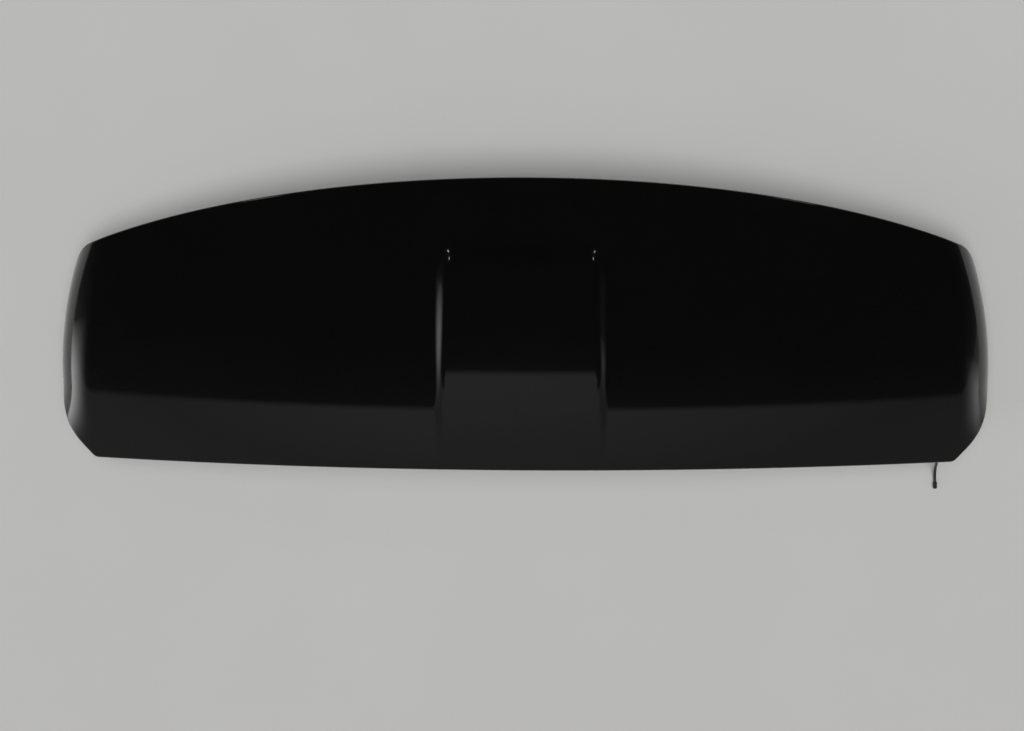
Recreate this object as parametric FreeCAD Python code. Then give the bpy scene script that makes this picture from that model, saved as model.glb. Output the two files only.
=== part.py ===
"""Tailgate roof-edge spoiler: a gloss outer skin closed by an inner panel, with studs, clips, seals and a lead.

Units are millimetres.  +X is to the right, +Y to the rear and +Z up.  The origin is the middle of the four
mounting studs, on the plane that their bosses seat on.  The side ears end in a flat edge at REST_Z.
"""
import FreeCAD, Part
import math
import os

V = FreeCAD.Vector

# Plan outline
HALF_WIDTH = 610.0
CHORD = 371.5
LEADING_Y = -103.0
LEADING_SWEEP = 4.0
NOSE_INSET = 46.0
NOSE_LENGTH = 52.5
SIDE_RADIUS = 581.0
WIDEST_Y = -22.0
TRAILING_OVER = 117.0
TRAILING_RISE = 239.0
LEADING_CORNER_R = 11.0
NOSE_CORNER_R = 116.0
TRAILING_CORNER_R = 48.0

# Crowned top surface
LEADING_Z = 34.0
FRONT_SLOPE = 9.0
REAR_SLOPE = -14.0
CROWN_DROP = 46.8
SHOULDER_WIDTH = 46.0
SHOULDER_DEPTH = 50.0
SHOULDER_ROLL = 0.9
SHOULDER_START = 5.0
SHOULDER_RUN = 100.0

# Raised centre panel of the skin, measured back from the leading edge
BLISTER_HEIGHT = 11.0
BLISTER_FRONT = 13.0
BLISTER_TOE = 0.06
BLISTER_REAR = 294.0
BLISTER_FRONT_HALF = 111.0
BLISTER_REAR_HALF = 108.0
BLISTER_WALL = 16.0
BLISTER_CORNER_R = 24.0

# Underside: how far the rim's lower edge lies below the top surface, and the deep ears at the sides
REST_Z = -54.0
LEADING_RIM = 5.0
BELLY_DEPTH = 24.0
TRAILING_RIM = 16.0
FRONT_TAPER = 70.0
REAR_TAPER = 150.0
EAR_WIDTH = 120.0
EAR_FLANK = 85.0
EAR_DROP = 40.0
EAR_FRONT = 80.0
EAR_REAR = 90.0
EAR_BLEND = 8.0
EAR_OVERRUN = 2.0

# Walls, edges and clearances
SKIN_WALL = 3.0
SKIN_EDGE_R = 3.0
PANEL_WALL = 2.5
PANEL_RECESS = 4.0
PANEL_FRONT = 38.0
FIT_GAP = 0.3
BOND_LINE = 0.2

# Four studs with flanged heads, standing in hollow bosses
STUD_X = 330.0
STUD_Y = 45.0
STUD_R = 3.0
STUD_LENGTH = 22.0
STUD_TIP = 0.8
STUD_COLLAR_R = 4.8
STUD_HEAD_R = 9.0
STUD_HEAD = 3.0
BOSS_FLOOR = 4.0
BOSS_WALL = 4.0
BOSS_DRAFT = 3.0
GUSSET_REACH = 16.0
GUSSET_TURN = 45.0
GASKET_R = 15.0
GASKET_BORE_R = 6.5
GASKET_THICK = 4.0

# Push-in clips in open-backed houses along the front
CLIP_X = (150.0, 430.0)
CLIP_BACK = 17.0
CLIP_NECK_R = 3.6
CLIP_HEAD_R = 8.0
CLIP_HEAD = 2.0
CLIP_COLLAR_R = 9.5
CLIP_COLLAR = 1.6
CLIP_STEM_R = 2.6
CLIP_BARB_R = 4.4
CLIP_BARB = 3.2
CLIP_BARBS = 3
HOUSE_WIDTH = 26.0
HOUSE_DEPTH = 24.0
HOUSE_DROP = 12.0
HOUSE_WALL = 2.2

# Ribs, locating pins and drains of the inner panel
RIB_X = (60.0, 185.0, 262.0, 400.0)
RIB_WALL = 2.0
RIB_HEIGHT = 7.0
RIB_REAR = 198.0
RIB_SPAN = 402.0
PIN_X = 224.0
PIN_Y = 8.0
PIN_R = 5.0
PIN_TIP_R = 3.4
PIN_TIP_Z = -6.0
DRAIN_IN = 18.0
DRAIN_Y = 72.0
DRAIN_R = 3.0

# Foam seals
SEAL_BACK = 14.0
SEAL_WIDTH = 10.0
SEAL_HEIGHT = 7.0
SEAL_END = 34.0
SIDE_SEAL_IN = 90.0
SIDE_SEAL_WIDTH = 15.0
SIDE_SEAL_HEIGHT = 5.0
SIDE_SEAL_FRONT = -8.0
SIDE_SEAL_REAR = 112.0

# Lead, its grommet in the panel's front wall and its end sleeve
LEAD_R = 1.8
LEAD_ROUTE = (
    V(545.0, -73.0, -11.0),
    V(545.0, -83.0, -11.0),
    V(546.5, -93.0, -15.5),
    V(549.0, -101.5, -25.0),
    V(552.0, -109.5, -36.0),
    V(554.5, -118.0, -46.0),
    V(556.0, -128.5, -51.2),
    V(557.0, -139.5, -51.2),
)
LEAD_BEND_SHARE = 0.45
GROMMET_FLANGE_R = 7.0
GROMMET_FLANGE = 2.4
GROMMET_NECK_R = 4.6
GROMMET_NOSE_R = 4.2
GROMMET_TIP_R = 2.9
GROMMET_INNER_R = 6.4
SLEEVE_R = 2.6
SLEEVE_LENGTH = 9.0
SLEEVE_ROUND = 0.8

# Spacing of the stations that carry the surfaces, their margin outside the outline, and tall heights for cutting
FINE_STEP = 5.5
SHOULDER_STEP = 11.0
ACROSS_STEP = 88.0
ALONG_STEP = 36.0
MARGIN = 14.0
STRAIGHT_HALF = 200.0
NORMAL_STEP = 0.5
DEEP = 300.0
TOP_Z = 120.0

LEADING_HALF = HALF_WIDTH - NOSE_INSET
TRAILING_Y = LEADING_Y + CHORD
TRAILING_HALF = HALF_WIDTH + TRAILING_OVER
TRAILING_CENTRE_Y = TRAILING_Y - TRAILING_RISE


# Height formulas
def smooth(t):
    t = min(max(t, 0.0), 1.0)
    return t * t * (3.0 - 2.0 * t)


def higher(a, b, blend):
    return (a + b + math.sqrt((a - b) ** 2 + blend**2)) / 2.0


def leading_y(x):
    return LEADING_Y + LEADING_SWEEP * (x / LEADING_HALF) ** 2


def trailing_y(x):
    return TRAILING_CENTRE_Y + TRAILING_RISE * math.sqrt(max(1.0 - (x / TRAILING_HALF) ** 2, 0.0))


def side_x(y, inset=0.0):
    radius = SIDE_RADIUS - inset
    return HALF_WIDTH - SIDE_RADIUS + math.sqrt(radius**2 - (y - WIDEST_Y) ** 2)


def crown_z(x, y):
    """Plain crowned surface, without the side roll and the blister."""
    back = y - LEADING_Y
    rise = math.tan(math.radians(FRONT_SLOPE))
    bend = (math.tan(math.radians(REAR_SLOPE)) - rise) / CHORD
    return LEADING_Z + rise * back + bend * back * back / 2.0 - CROWN_DROP * (x / HALF_WIDTH) ** 2


def shoulder_drop(x, y):
    """How far the skin has rolled down near its side; the roll fades out towards the leading corner."""
    share = max((abs(x) - side_x(y)) / SHOULDER_WIDTH + 1.0, 0.0)
    root = math.sqrt(1.0 - (SHOULDER_ROLL * min(share, 1.0)) ** 2)
    drop = 1.0 - root
    if share > 1.0:
        drop += SHOULDER_ROLL**2 / root * (share - 1.0)
    return SHOULDER_DEPTH * drop * smooth((y - LEADING_Y - SHOULDER_START) / SHOULDER_RUN)


def blister_rise(x, y):
    """Raised centre panel: a wedge that grows from nothing at the front and ends in a rounded wall at the rear."""
    along = (y - LEADING_Y - BLISTER_FRONT) / (BLISTER_REAR - BLISTER_FRONT)
    share = min(max(along, 0.0), 1.0)
    half = BLISTER_FRONT_HALF + (BLISTER_REAR_HALF - BLISTER_FRONT_HALF) * share
    dx = abs(x) - half + BLISTER_CORNER_R
    dy = y - LEADING_Y - BLISTER_REAR + BLISTER_CORNER_R
    outside = math.hypot(max(dx, 0.0), max(dy, 0.0)) + min(max(dx, dy), 0.0) - BLISTER_CORNER_R
    wedge = share * share / (share + BLISTER_TOE)
    return BLISTER_HEIGHT * wedge * smooth(-outside / BLISTER_WALL)


def base_z(x, y):
    return crown_z(x, y) - shoulder_drop(x, y)


def top_z(x, y):
    return base_z(x, y) + blister_rise(x, y)


def rim_z(x, y):
    """Lower edge of the rim: thin at the front and deep at the ears, which stop just below REST_Z."""
    behind = y - leading_y(x)
    ahead = trailing_y(x) - y
    depth = LEADING_RIM + (BELLY_DEPTH - LEADING_RIM) * smooth(behind / FRONT_TAPER)
    depth -= (BELLY_DEPTH - TRAILING_RIM) * smooth(1.0 - ahead / REAR_TAPER)
    across = smooth((abs(x) - side_x(y) + EAR_WIDTH) / EAR_FLANK)
    ear = across * smooth(behind / EAR_FRONT) * smooth(ahead / EAR_REAR)
    return higher(base_z(x, y) - depth - EAR_DROP * ear, REST_Z - EAR_OVERRUN, EAR_BLEND)


def panel_z(x, y):
    return rim_z(x, y) + PANEL_RECESS


# Smooth faces from the formulas
def steps(start, end, spacing):
    count = max(int(math.ceil((end - start) / spacing)), 1)
    return [start + (end - start) * i / count for i in range(count)]


def across_stations(fine):
    """Stations across the right half, mirrored: close together at the blister's wall and on the shoulder."""
    inner = BLISTER_REAR_HALF - BLISTER_WALL - FINE_STEP
    outer = BLISTER_FRONT_HALF + FINE_STEP
    shoulder = HALF_WIDTH - SHOULDER_WIDTH - SHOULDER_STEP
    right = steps(0.0, inner, ACROSS_STEP)
    right += steps(inner, outer, FINE_STEP if fine else ACROSS_STEP)
    right += steps(outer, HALF_WIDTH - EAR_WIDTH, ACROSS_STEP)
    right += steps(HALF_WIDTH - EAR_WIDTH, shoulder, ALONG_STEP)
    right += steps(shoulder, HALF_WIDTH + MARGIN, SHOULDER_STEP)
    right.append(HALF_WIDTH + MARGIN)
    return [-x for x in reversed(right[1:])] + right


def along_stations(fine):
    wall_start = LEADING_Y + BLISTER_REAR - BLISTER_CORNER_R - FINE_STEP
    wall_end = LEADING_Y + BLISTER_REAR + FINE_STEP
    along = steps(LEADING_Y - MARGIN, wall_start, ALONG_STEP)
    along += steps(wall_start, wall_end, FINE_STEP if fine else ALONG_STEP)
    along += steps(wall_end, TRAILING_Y + MARGIN, ALONG_STEP)
    return along + [TRAILING_Y + MARGIN]


def station_x(x, y):
    """Stations near the middle run straight to the rear, and the outer ones follow the side."""
    if abs(x) <= STRAIGHT_HALF:
        return x
    share = (abs(x) - STRAIGHT_HALF) / (HALF_WIDTH - STRAIGHT_HALF)
    return math.copysign(STRAIGHT_HALF + share * (side_x(y) - STRAIGHT_HALF), x)


def surface_point(height, x, y, inward):
    ahead = (height(x, y + NORMAL_STEP) - height(x, y - NORMAL_STEP)) / (2.0 * NORMAL_STEP)
    right = (height(x + NORMAL_STEP, y) - height(x - NORMAL_STEP, y)) / (2.0 * NORMAL_STEP)
    return V(x, y, height(x, y)) - V(-right, -ahead, 1.0).normalize() * inward


def surface(height, fine=False, inward=0.0):
    """Smooth face whose control points lie on a height formula, or inward of it along its normals."""
    poles = [
        [surface_point(height, station_x(x, y), y, inward) for y in along_stations(fine)]
        for x in across_stations(fine)
    ]
    counts = (len(poles), len(poles[0]))
    repeats = [[4] + [1] * (n - 4) + [4] for n in counts]
    knots = [list(range(n - 2)) for n in counts]
    sheet = Part.BSplineSurface()
    sheet.buildFromPolesMultsKnots(poles, *repeats, *knots, False, False, 3, 3)
    return sheet.toShape()


def below(face, raised=0.0):
    return face.translated(V(0, 0, raised)).extrude(V(0, 0, -DEEP))


def layer(face, low, high):
    """Sheet of even height over a face, from low to high above it."""
    return face.translated(V(0, 0, low)).extrude(V(0, 0, high - low))


# Plan shapes
def crossing(f, low, high):
    """Place between low and high where f changes sign."""
    rising = f(high) > 0.0
    for _ in range(60):
        middle = (low + high) / 2.0
        if (f(middle) > 0.0) == rising:
            high = middle
        else:
            low = middle
    return (low + high) / 2.0


def mirrored(p):
    return V(-p.x, p.y, p.z)


def upright_edges(solid, corner):
    """Upright edges of a prism at a plan corner and at its mirror image."""
    found = []
    for edge in solid.Edges:
        start, end = edge.firstVertex().Point, edge.lastVertex().Point
        level = math.hypot(start.x - end.x, start.y - end.y)
        if level < 0.001 and math.hypot(abs(start.x) - corner.x, start.y - corner.y) < 0.01:
            found.append(edge)
    return found


def outline_prism(inset, z_low):
    """Upright prism on the plan outline, moved inwards by inset, with its corners rounded."""
    nose_start = V(LEADING_HALF, leading_y(LEADING_HALF), z_low)
    nose_y = nose_start.y + NOSE_LENGTH
    nose_run = V(side_x(nose_y), nose_y, z_low) - nose_start
    inward = V(-nose_run.y, nose_run.x, 0).normalize() * inset
    half = TRAILING_HALF - inset
    rise = TRAILING_RISE - inset

    def nose(t):
        return nose_start + inward + nose_run * t

    def past_trailing(y):
        return (side_x(y, inset) / half) ** 2 + ((y - TRAILING_CENTRE_Y) / rise) ** 2 - 1.0

    front = nose(crossing(lambda t: nose(t).y - leading_y(nose(t).x) - inset, -0.8, 0.8))
    middle = nose(crossing(lambda t: nose(t).x - side_x(nose(t).y, inset), 0.4, 1.4))
    rear_y = crossing(past_trailing, max(TRAILING_CENTRE_Y, middle.y), TRAILING_Y - inset)
    rear = V(side_x(rear_y, inset), rear_y, z_low)
    bulge_y = (middle.y + rear.y) / 2.0
    bulge = V(side_x(bulge_y, inset), bulge_y, z_low)
    turn = math.atan2((rear.y - TRAILING_CENTRE_Y) / rise, rear.x / half)
    trailing = Part.Ellipse(V(0, TRAILING_CENTRE_Y, z_low), half, rise)
    edges = [
        Part.Arc(mirrored(front), V(0, LEADING_Y + inset, z_low), front).toShape(),
        Part.LineSegment(front, middle).toShape(),
        Part.Arc(middle, bulge, rear).toShape(),
        Part.ArcOfEllipse(trailing, turn, math.pi - turn).toShape(),
        Part.Arc(mirrored(rear), mirrored(bulge), mirrored(middle)).toShape(),
        Part.LineSegment(mirrored(middle), mirrored(front)).toShape(),
    ]
    prism = Part.Face(Part.Wire(edges)).extrude(V(0, 0, TOP_Z - z_low))
    for corner, radius in ((front, LEADING_CORNER_R), (middle, NOSE_CORNER_R), (rear, TRAILING_CORNER_R)):
        prism = prism.makeFillet(radius - inset, upright_edges(prism, corner))
    return prism


def front_strip(start, end, half):
    """Tall strip that follows the leading edge, from start to end behind it."""
    corners = [V(x, leading_y(half) + back, -DEEP) for back in (start, end) for x in (-half, half)]
    middles = [V(0, LEADING_Y + back, -DEEP) for back in (start, end)]
    edges = [
        Part.Arc(corners[0], middles[0], corners[1]).toShape(),
        Part.LineSegment(corners[1], corners[3]).toShape(),
        Part.Arc(corners[3], middles[1], corners[2]).toShape(),
        Part.LineSegment(corners[2], corners[0]).toShape(),
    ]
    return Part.Face(Part.Wire(edges)).extrude(V(0, 0, TOP_Z + DEEP))


def side_strip(near, far, y_front, y_rear):
    """Tall strip that follows the right side, between two insets."""
    y_middle = (y_front + y_rear) / 2.0
    rows = [[V(side_x(y, inset), y, -DEEP) for y in (y_front, y_middle, y_rear)] for inset in (near, far)]
    edges = [
        Part.Arc(*rows[0]).toShape(),
        Part.LineSegment(rows[0][2], rows[1][2]).toShape(),
        Part.Arc(rows[1][2], rows[1][1], rows[1][0]).toShape(),
        Part.LineSegment(rows[1][0], rows[0][0]).toShape(),
    ]
    return Part.Face(Part.Wire(edges)).extrude(V(0, 0, TOP_Z + DEEP))


def turned(profile, base=V(0, 0, 0), axis=V(0, 0, 1)):
    """Solid turned from (radius, height) points about an axis through base."""
    points = [V(r, 0, h) for r, h in profile]
    solid = Part.Face(Part.makePolygon(points + points[:1])).revolve(V(0, 0, 0), V(0, 0, 1), 360)
    turn = FreeCAD.Rotation(V(0, 0, 1), axis)
    solid.Placement = FreeCAD.Placement(base, turn)
    return solid


def box(x_centre, width, y_low, y_high, z_low, z_high):
    corner = V(x_centre - width / 2.0, y_low, z_low)
    return Part.makeBox(width, y_high - y_low, z_high - z_low, corner)


def both_sides(solid):
    return [solid, solid.mirror(V(0, 0, 0), V(1, 0, 0))]


# Outer skin
def skin_body(top, rim):
    """The filled skin, from its rolled upper edge down to the rim."""
    body = outline_prism(0.0, REST_Z).common(below(top))
    upper = []
    for edge in body.Edges:
        middle = edge.valueAt((edge.FirstParameter + edge.LastParameter) / 2.0)
        if len(body.ancestorsOfType(edge, Part.Face)) == 2 and abs(middle.z - top_z(middle.x, middle.y)) < 1.5:
            upper.append(edge)
    return body.makeFillet(SKIN_EDGE_R, upper).cut(below(rim))


def make_outer_skin(top, lining, rim):
    hollow = outline_prism(SKIN_WALL, REST_Z - 1.0).common(below(lining))
    return skin_body(top, rim).cut(hollow)


# Inner panel
RIGHT_STUDS = [V(STUD_X, y, 0) for y in (-STUD_Y, STUD_Y)]
STUD_PLACES = RIGHT_STUDS + [mirrored(p) for p in RIGHT_STUDS]
CLIP_Y = LEADING_Y + PANEL_FRONT + CLIP_BACK
RIGHT_CLIPS = [V(x, CLIP_Y, panel_z(x, CLIP_Y) - HOUSE_DROP) for x in CLIP_X]
CLIP_PLACES = RIGHT_CLIPS + [mirrored(p) for p in RIGHT_CLIPS]
CUP_R = STUD_HEAD_R + 1.0
BOSS_R = CUP_R + BOSS_WALL


def stud_boss(place):
    """Drafted boss with four gussets, standing on the seat plane."""
    spread = BOSS_R + TOP_Z * math.tan(math.radians(BOSS_DRAFT))
    boss = Part.makeCone(BOSS_R, spread, TOP_Z)
    height = panel_z(place.x, place.y) + PANEL_WALL
    reach = BOSS_R + GUSSET_REACH
    corners = [V(0, 0, BOSS_FLOOR), V(BOSS_R, 0, BOSS_FLOOR), V(reach, 0, height), V(reach, 0, TOP_Z), V(0, 0, TOP_Z)]
    web = Part.Face(Part.makePolygon(corners + corners[:1])).extrude(V(0, RIB_WALL, 0))
    web.translate(V(0, -RIB_WALL / 2.0, 0))
    for quarter in range(4):
        gusset = web.copy()
        gusset.rotate(V(0, 0, 0), V(0, 0, 1), 90.0 * quarter + GUSSET_TURN)
        boss = boss.fuse(gusset)
    return boss.translated(place)


def clip_house(place):
    """Open-backed house: three walls on a floor with a slot that the clip's neck slides into."""
    front, back = place.y - HOUSE_DEPTH / 2.0, place.y + HOUSE_DEPTH / 2.0
    floor_top = place.z + HOUSE_WALL
    house = box(place.x, HOUSE_WIDTH, front, back, place.z, TOP_Z)
    room = box(place.x, HOUSE_WIDTH - 2.0 * HOUSE_WALL, front + HOUSE_WALL, back + 1.0, floor_top, TOP_Z)
    slot_r = CLIP_NECK_R + FIT_GAP
    slot = box(place.x, 2.0 * slot_r, place.y, back + 1.0, place.z - 1.0, floor_top + 1.0)
    eye = Part.makeCylinder(slot_r, HOUSE_WALL + 2.0, place - V(0, 0, 1.0))
    return house.cut([room, slot, eye])


def rib_grid():
    rear = LEADING_Y + RIB_REAR
    ribs = [box(s * x, RIB_WALL, LEADING_Y + PANEL_FRONT, rear, -DEEP, TOP_Z) for x in RIB_X for s in (-1, 1)]
    ribs.append(front_strip(RIB_REAR - RIB_WALL, RIB_REAR, RIB_SPAN))
    return ribs[0].multiFuse(ribs[1:])


def make_inner_panel(rim, lining):
    plan = outline_prism(SKIN_WALL + FIT_GAP, -DEEP)
    mid_wall = PANEL_RECESS + PANEL_WALL / 2.0
    under_mid = below(rim, mid_wall)
    shell = plan.common(front_strip(PANEL_FRONT, CHORD, HALF_WIDTH))
    shell = shell.common(layer(rim, PANEL_RECESS, PANEL_RECESS + PANEL_WALL))
    wall = plan.common(front_strip(PANEL_FRONT, PANEL_FRONT + PANEL_WALL, HALF_WIDTH))
    wall = wall.common(below(lining, -FIT_GAP)).cut(under_mid)
    ribs = rib_grid().common(layer(rim, PANEL_RECESS - RIB_HEIGHT, mid_wall))
    stands = [stud_boss(p).common(under_mid) for p in RIGHT_STUDS]
    stands += [clip_house(p).common(under_mid) for p in RIGHT_CLIPS]
    pin_foot = panel_z(PIN_X, PIN_Y) + PANEL_WALL / 2.0
    pin = Part.makeCone(PIN_TIP_R, PIN_R, pin_foot - PIN_TIP_Z, V(PIN_X, PIN_Y, PIN_TIP_Z))
    stands.append(pin)
    panel = shell.multiFuse([wall, ribs] + [half for solid in stands for half in both_sides(solid)])
    holes = []
    for place in STUD_PLACES:
        holes.append(Part.makeCylinder(CUP_R, TOP_Z, place + V(0, 0, BOSS_FLOOR)))
        holes.append(Part.makeCylinder(STUD_COLLAR_R + FIT_GAP, BOSS_FLOOR + 2.0, place - V(0, 0, 1.0)))
    drain_x = side_x(DRAIN_Y, DRAIN_IN)
    holes += both_sides(Part.makeCylinder(DRAIN_R, TOP_Z, V(drain_x, DRAIN_Y, REST_Z)))
    lead = LEAD_ROUTE[0]
    holes.append(Part.makeCylinder(GROMMET_NECK_R + FIT_GAP, DEEP, V(lead.x, lead.y, lead.z), V(0, 1, 0)))
    return panel.cut(holes)


# Fasteners
def make_studs():
    top = BOSS_FLOOR + STUD_HEAD
    profile = [
        (0, top),
        (STUD_HEAD_R, top),
        (STUD_HEAD_R, BOSS_FLOOR),
        (STUD_COLLAR_R, BOSS_FLOOR),
        (STUD_COLLAR_R, 0),
        (STUD_R, 0),
        (STUD_R, STUD_TIP - STUD_LENGTH),
        (STUD_R - STUD_TIP, -STUD_LENGTH),
        (0, -STUD_LENGTH),
    ]
    return [turned(profile, place) for place in STUD_PLACES]


def make_gaskets():
    profile = [(GASKET_BORE_R, 0), (GASKET_R, 0), (GASKET_R, -GASKET_THICK), (GASKET_BORE_R, -GASKET_THICK)]
    return [turned(profile, place) for place in STUD_PLACES]


def make_clips():
    """Push-in clips: a head in the house, a collar under its floor and a stem with barbs."""
    head = HOUSE_WALL + CLIP_HEAD
    profile = [
        (0, head),
        (CLIP_HEAD_R, head),
        (CLIP_HEAD_R, HOUSE_WALL),
        (CLIP_NECK_R, HOUSE_WALL),
        (CLIP_NECK_R, 0),
        (CLIP_COLLAR_R, 0),
        (CLIP_COLLAR_R, -CLIP_COLLAR),
        (CLIP_STEM_R, -CLIP_COLLAR),
    ]
    z = -CLIP_COLLAR - CLIP_BARB / 2.0
    for _ in range(CLIP_BARBS):
        profile += [(CLIP_STEM_R, z), (CLIP_BARB_R, z), (CLIP_STEM_R, z - CLIP_BARB)]
        z -= CLIP_BARB
    profile.append((0, z - CLIP_BARB / 2.0))
    return [turned(profile, place) for place in CLIP_PLACES]


# Seals
def make_leading_seal(lining):
    strip = front_strip(SEAL_BACK, SEAL_BACK + SEAL_WIDTH, LEADING_HALF - SEAL_END)
    return strip.common(layer(lining, -BOND_LINE - SEAL_HEIGHT, -BOND_LINE))


def make_side_seal(rim):
    strip = side_strip(SIDE_SEAL_IN, SIDE_SEAL_IN + SIDE_SEAL_WIDTH, SIDE_SEAL_FRONT, SIDE_SEAL_REAR)
    seat = PANEL_RECESS - BOND_LINE
    return strip.common(layer(rim, seat - SIDE_SEAL_HEIGHT, seat))


# Lead
def make_grommet():
    """Rubber grommet that grips the panel's front wall, with a tapered nose that the lead comes out of."""
    lead = LEAD_ROUTE[0]
    wall_front = leading_y(lead.x) + PANEL_FRONT - lead.y
    wall_back = wall_front + PANEL_WALL + BOND_LINE
    flange_back = wall_front - BOND_LINE
    flange_front = flange_back - GROMMET_FLANGE
    profile = [
        (0, 0),
        (GROMMET_TIP_R, 0),
        (GROMMET_NOSE_R, flange_front),
        (GROMMET_FLANGE_R, flange_front),
        (GROMMET_FLANGE_R, flange_back),
        (GROMMET_NECK_R, flange_back),
        (GROMMET_NECK_R, wall_back),
        (GROMMET_INNER_R, wall_back),
        (GROMMET_NECK_R, wall_back + GROMMET_FLANGE),
        (0, wall_back + GROMMET_FLANGE),
    ]
    return turned(profile, lead, V(0, 1, 0))


def make_lead():
    """Tube along straight runs joined by tangent arcs; prints the radii and the tube's length."""
    edges = []
    radii = []
    start = LEAD_ROUTE[0]
    for before, corner, after in zip(LEAD_ROUTE, LEAD_ROUTE[1:], LEAD_ROUTE[2:]):
        arm_in = before - corner
        arm_out = after - corner
        reach = LEAD_BEND_SHARE * min(arm_in.Length, arm_out.Length)
        towards = V(arm_in).normalize()
        away = V(arm_out).normalize()
        half_turn = (math.pi - towards.getAngle(away)) / 2.0
        radius = reach / math.tan(half_turn)
        bisector = (towards + away).normalize()
        nearest = corner + bisector * (radius / math.cos(half_turn) - radius)
        entry = corner + towards * reach
        leave = corner + away * reach
        edges.append(Part.LineSegment(start, entry).toShape())
        edges.append(Part.Arc(entry, nearest, leave).toShape())
        radii.append(round(radius, 1))
        start = leave
    edges.append(Part.LineSegment(start, LEAD_ROUTE[-1]).toShape())
    path = Part.Wire(edges)
    first_run = LEAD_ROUTE[1] - LEAD_ROUTE[0]
    section = Part.Wire(Part.makeCircle(LEAD_R, LEAD_ROUTE[0], first_run))
    tube = path.makePipeShell([section], True, False)
    ideal = math.pi * LEAD_R**2 * path.Length
    print("lead radii", radii, "length", round(path.Length, 1), "volume share", round(tube.Volume / ideal, 4))
    return tube


def make_sleeve():
    run = LEAD_ROUTE[-1] - LEAD_ROUTE[-2]
    profile = [
        (0, 0),
        (SLEEVE_R, 0),
        (SLEEVE_R, SLEEVE_LENGTH - SLEEVE_ROUND),
        (SLEEVE_R - SLEEVE_ROUND, SLEEVE_LENGTH),
        (0, SLEEVE_LENGTH),
    ]
    return turned(profile, LEAD_ROUTE[-1], run)


def main():
    top = surface(top_z, fine=True)
    lining = surface(top_z, fine=True, inward=SKIN_WALL)
    rim = surface(rim_z)
    right_seal, left_seal = both_sides(make_side_seal(rim))
    pieces = {
        "outer_skin": make_outer_skin(top, lining, rim),
        "inner_panel": make_inner_panel(rim, lining),
        "mounting_studs": Part.makeCompound(make_studs()),
        "stud_gaskets": Part.makeCompound(make_gaskets()),
        "edge_clips": Part.makeCompound(make_clips()),
        "leading_edge_seal": make_leading_seal(lining),
        "left_side_seal": left_seal,
        "right_side_seal": right_seal,
        "lead_grommet": make_grommet(),
        "antenna_lead": make_lead(),
        "lead_end_sleeve": make_sleeve(),
    }
    os.makedirs("parts", exist_ok=True)
    for node, shape in pieces.items():
        shape.exportStep(f"parts/{node}.step")
        print(node, len(shape.Solids), "solids, valid", shape.isValid(), "volume", round(shape.Volume / 1000.0, 2), "cm3")


main()
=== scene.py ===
# %% [markdown]
# # A tailgate roof-edge spoiler in gloss black
# The part is a painted shell with a ribbed panel closing its underside.  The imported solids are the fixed
# frame: every piece below is made in metres in that same frame, so nothing has to be fitted by hand.

import bisect
import itertools
import math
from collections import namedtuple

import bmesh
import bpy
from mathutils import Matrix, Vector


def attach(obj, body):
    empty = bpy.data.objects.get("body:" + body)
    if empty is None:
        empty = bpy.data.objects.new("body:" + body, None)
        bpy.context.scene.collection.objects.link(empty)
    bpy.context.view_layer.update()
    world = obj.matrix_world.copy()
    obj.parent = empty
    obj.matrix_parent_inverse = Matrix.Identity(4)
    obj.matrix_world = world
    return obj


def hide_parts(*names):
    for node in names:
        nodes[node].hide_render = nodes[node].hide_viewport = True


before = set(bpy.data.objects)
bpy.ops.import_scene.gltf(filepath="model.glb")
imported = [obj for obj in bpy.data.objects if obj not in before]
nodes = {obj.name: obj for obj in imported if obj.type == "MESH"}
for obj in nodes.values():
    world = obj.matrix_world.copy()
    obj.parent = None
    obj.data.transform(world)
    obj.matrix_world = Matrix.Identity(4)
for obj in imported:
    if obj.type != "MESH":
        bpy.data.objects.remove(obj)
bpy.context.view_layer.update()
print("solids loaded:", sorted(nodes))

# %% [markdown]
# ## Shader expressions
# A node tree is easier to read as a sum than as a list of links.  One small class wraps a socket, its
# operators add Math nodes, and one method adds any other node.

# %% A socket that can be used in sums
class Value:
    def __init__(self, shader, socket):
        self.shader = shader
        self.socket = socket

    def math(self, operation, first, second):
        return self.shader.add("ShaderNodeMath", {"operation": operation}, {0: first, 1: second})

    def __add__(self, other):
        return self.math("ADD", self, other)

    def __radd__(self, other):
        return self.math("ADD", other, self)

    def __sub__(self, other):
        return self.math("SUBTRACT", self, other)

    def __rsub__(self, other):
        return self.math("SUBTRACT", other, self)

    def __mul__(self, other):
        return self.math("MULTIPLY", self, other)

    def __rmul__(self, other):
        return self.math("MULTIPLY", other, self)


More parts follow.
